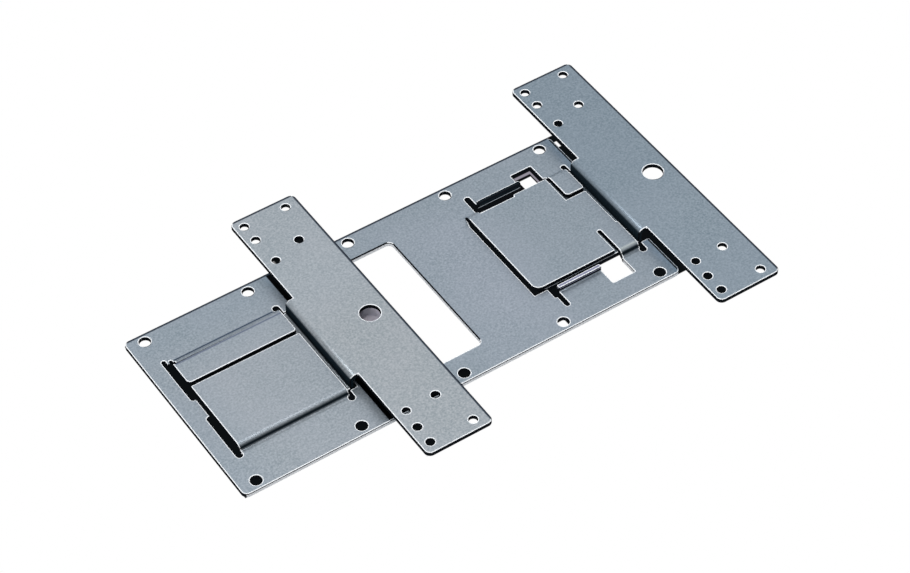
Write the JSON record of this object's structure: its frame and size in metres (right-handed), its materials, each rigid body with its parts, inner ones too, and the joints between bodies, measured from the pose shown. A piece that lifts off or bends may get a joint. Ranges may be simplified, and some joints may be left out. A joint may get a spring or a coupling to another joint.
{
  "type": "wall bracket",
  "caption": "Flat folded-steel wall bracket: a long base plate with lanced pockets that hold the tongues of raised cross arms, with screw holes all round.",
  "frame": {"origin": "middle of the plate's wall-hole pattern, on the wall face", "axes": "+Z away from the wall, +X along the base plate towards the open pocket, +Y along the arms"},
  "size_m": [0.2468, 0.1538, 0.0088],
  "materials": {
    "zinc_steel": "bright zinc plate with a fine grain"
  },
  "bodies": {
    "root": {"base_plate": "zinc_steel", "left_arm": "zinc_steel", "right_arm": "zinc_steel"}
  },
  "joints": []
}
